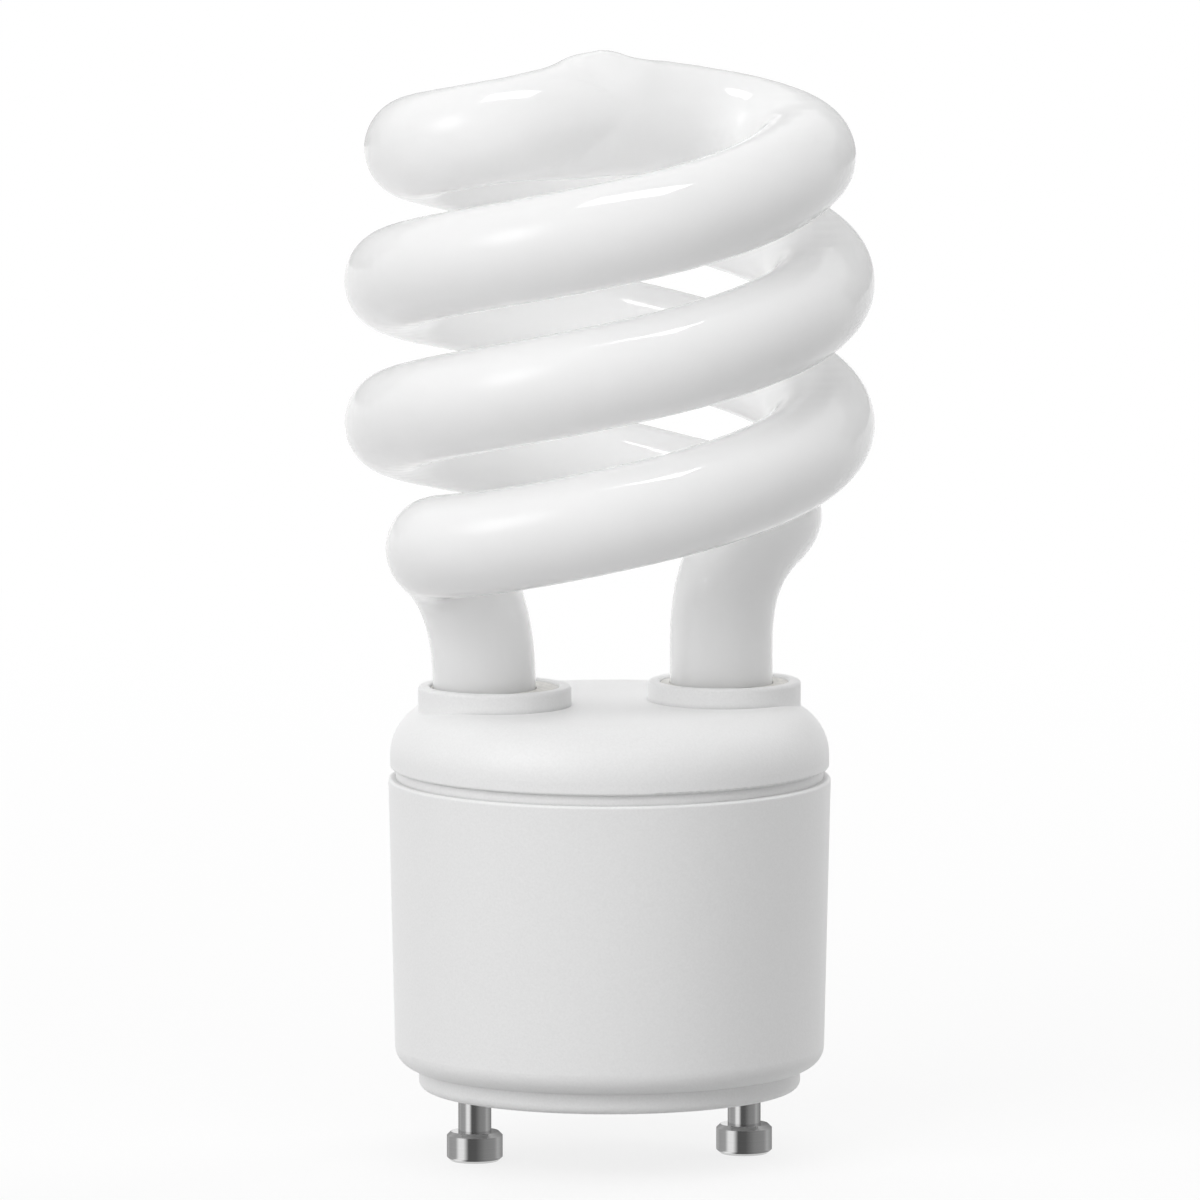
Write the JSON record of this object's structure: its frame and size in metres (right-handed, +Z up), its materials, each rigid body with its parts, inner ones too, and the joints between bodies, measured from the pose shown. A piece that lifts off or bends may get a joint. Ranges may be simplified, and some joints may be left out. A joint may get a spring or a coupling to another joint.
{
  "type": "spiral energy saving bulb",
  "caption": "Compact fluorescent lamp: white double-helix glass tube on a round two-piece ballast housing, with a two-pin twist-lock base for a ceiling or wall lamp holder.",
  "frame": {"origin": "on the underside of the base's boss, midway between the two contact pins", "axes": "+Z up the lamp's axis from the base to the glass crown, X through both contact pins"},
  "size_m": [0.0464, 0.0464, 0.098],
  "materials": {
    "glass": "glossy white-coated glass",
    "housing_plastic": "fine moulded texture",
    "pin_metal": "turned and plated",
    "cement": "matte",
    "board": "bare laminate",
    "lead_sleeve": "insulated wire",
    "bare_wire": "tinned wire",
    "black_epoxy": "moulded epoxy",
    "can_sleeve": "shrink sleeve",
    "ferrite": "sintered",
    "copper": "enamelled wire",
    "film_coat": "dipped coat",
    "resistor_coat": "lacquered"
  },
  "bodies": {
    "root": {"blocking_capacitor": "film_coat", "bulk_capacitor": "can_sleeve", "choke_bobbin": "black_epoxy", "choke_core_lower": "ferrite", "choke_core_upper": "ferrite", "choke_winding": "copper", "circuit_board": "board", "contact_pin_left": "pin_metal", "contact_pin_right": "pin_metal", "drive_resistor_1": "resistor_coat", "drive_resistor_2": "resistor_coat", "drive_resistor_3": "resistor_coat", "drive_resistor_4": "resistor_coat", "drive_toroid": "ferrite", "drive_winding": "copper", "filament_lead_1": "bare_wire", "filament_lead_2": "bare_wire", "filament_lead_3": "bare_wire", "filament_lead_4": "bare_wire", "fuse_resistor": "resistor_coat", "input_choke": "ferrite", "lower_housing": "housing_plastic", "pin_lead_left": "lead_sleeve", "pin_lead_right": "lead_sleeve", "rectifier_diode_1": "black_epoxy", "rectifier_diode_2": "black_epoxy", "rectifier_diode_3": "black_epoxy", "rectifier_diode_4": "black_epoxy", "resonant_capacitor": "film_coat", "spiral_tube": "glass", "start_capacitor": "film_coat", "transistor_high": "black_epoxy", "transistor_low": "black_epoxy", "trigger_diode": "black_epoxy", "tube_cement_left": "cement", "tube_cement_right": "cement", "upper_cover": "housing_plastic"}
  },
  "joints": []
}
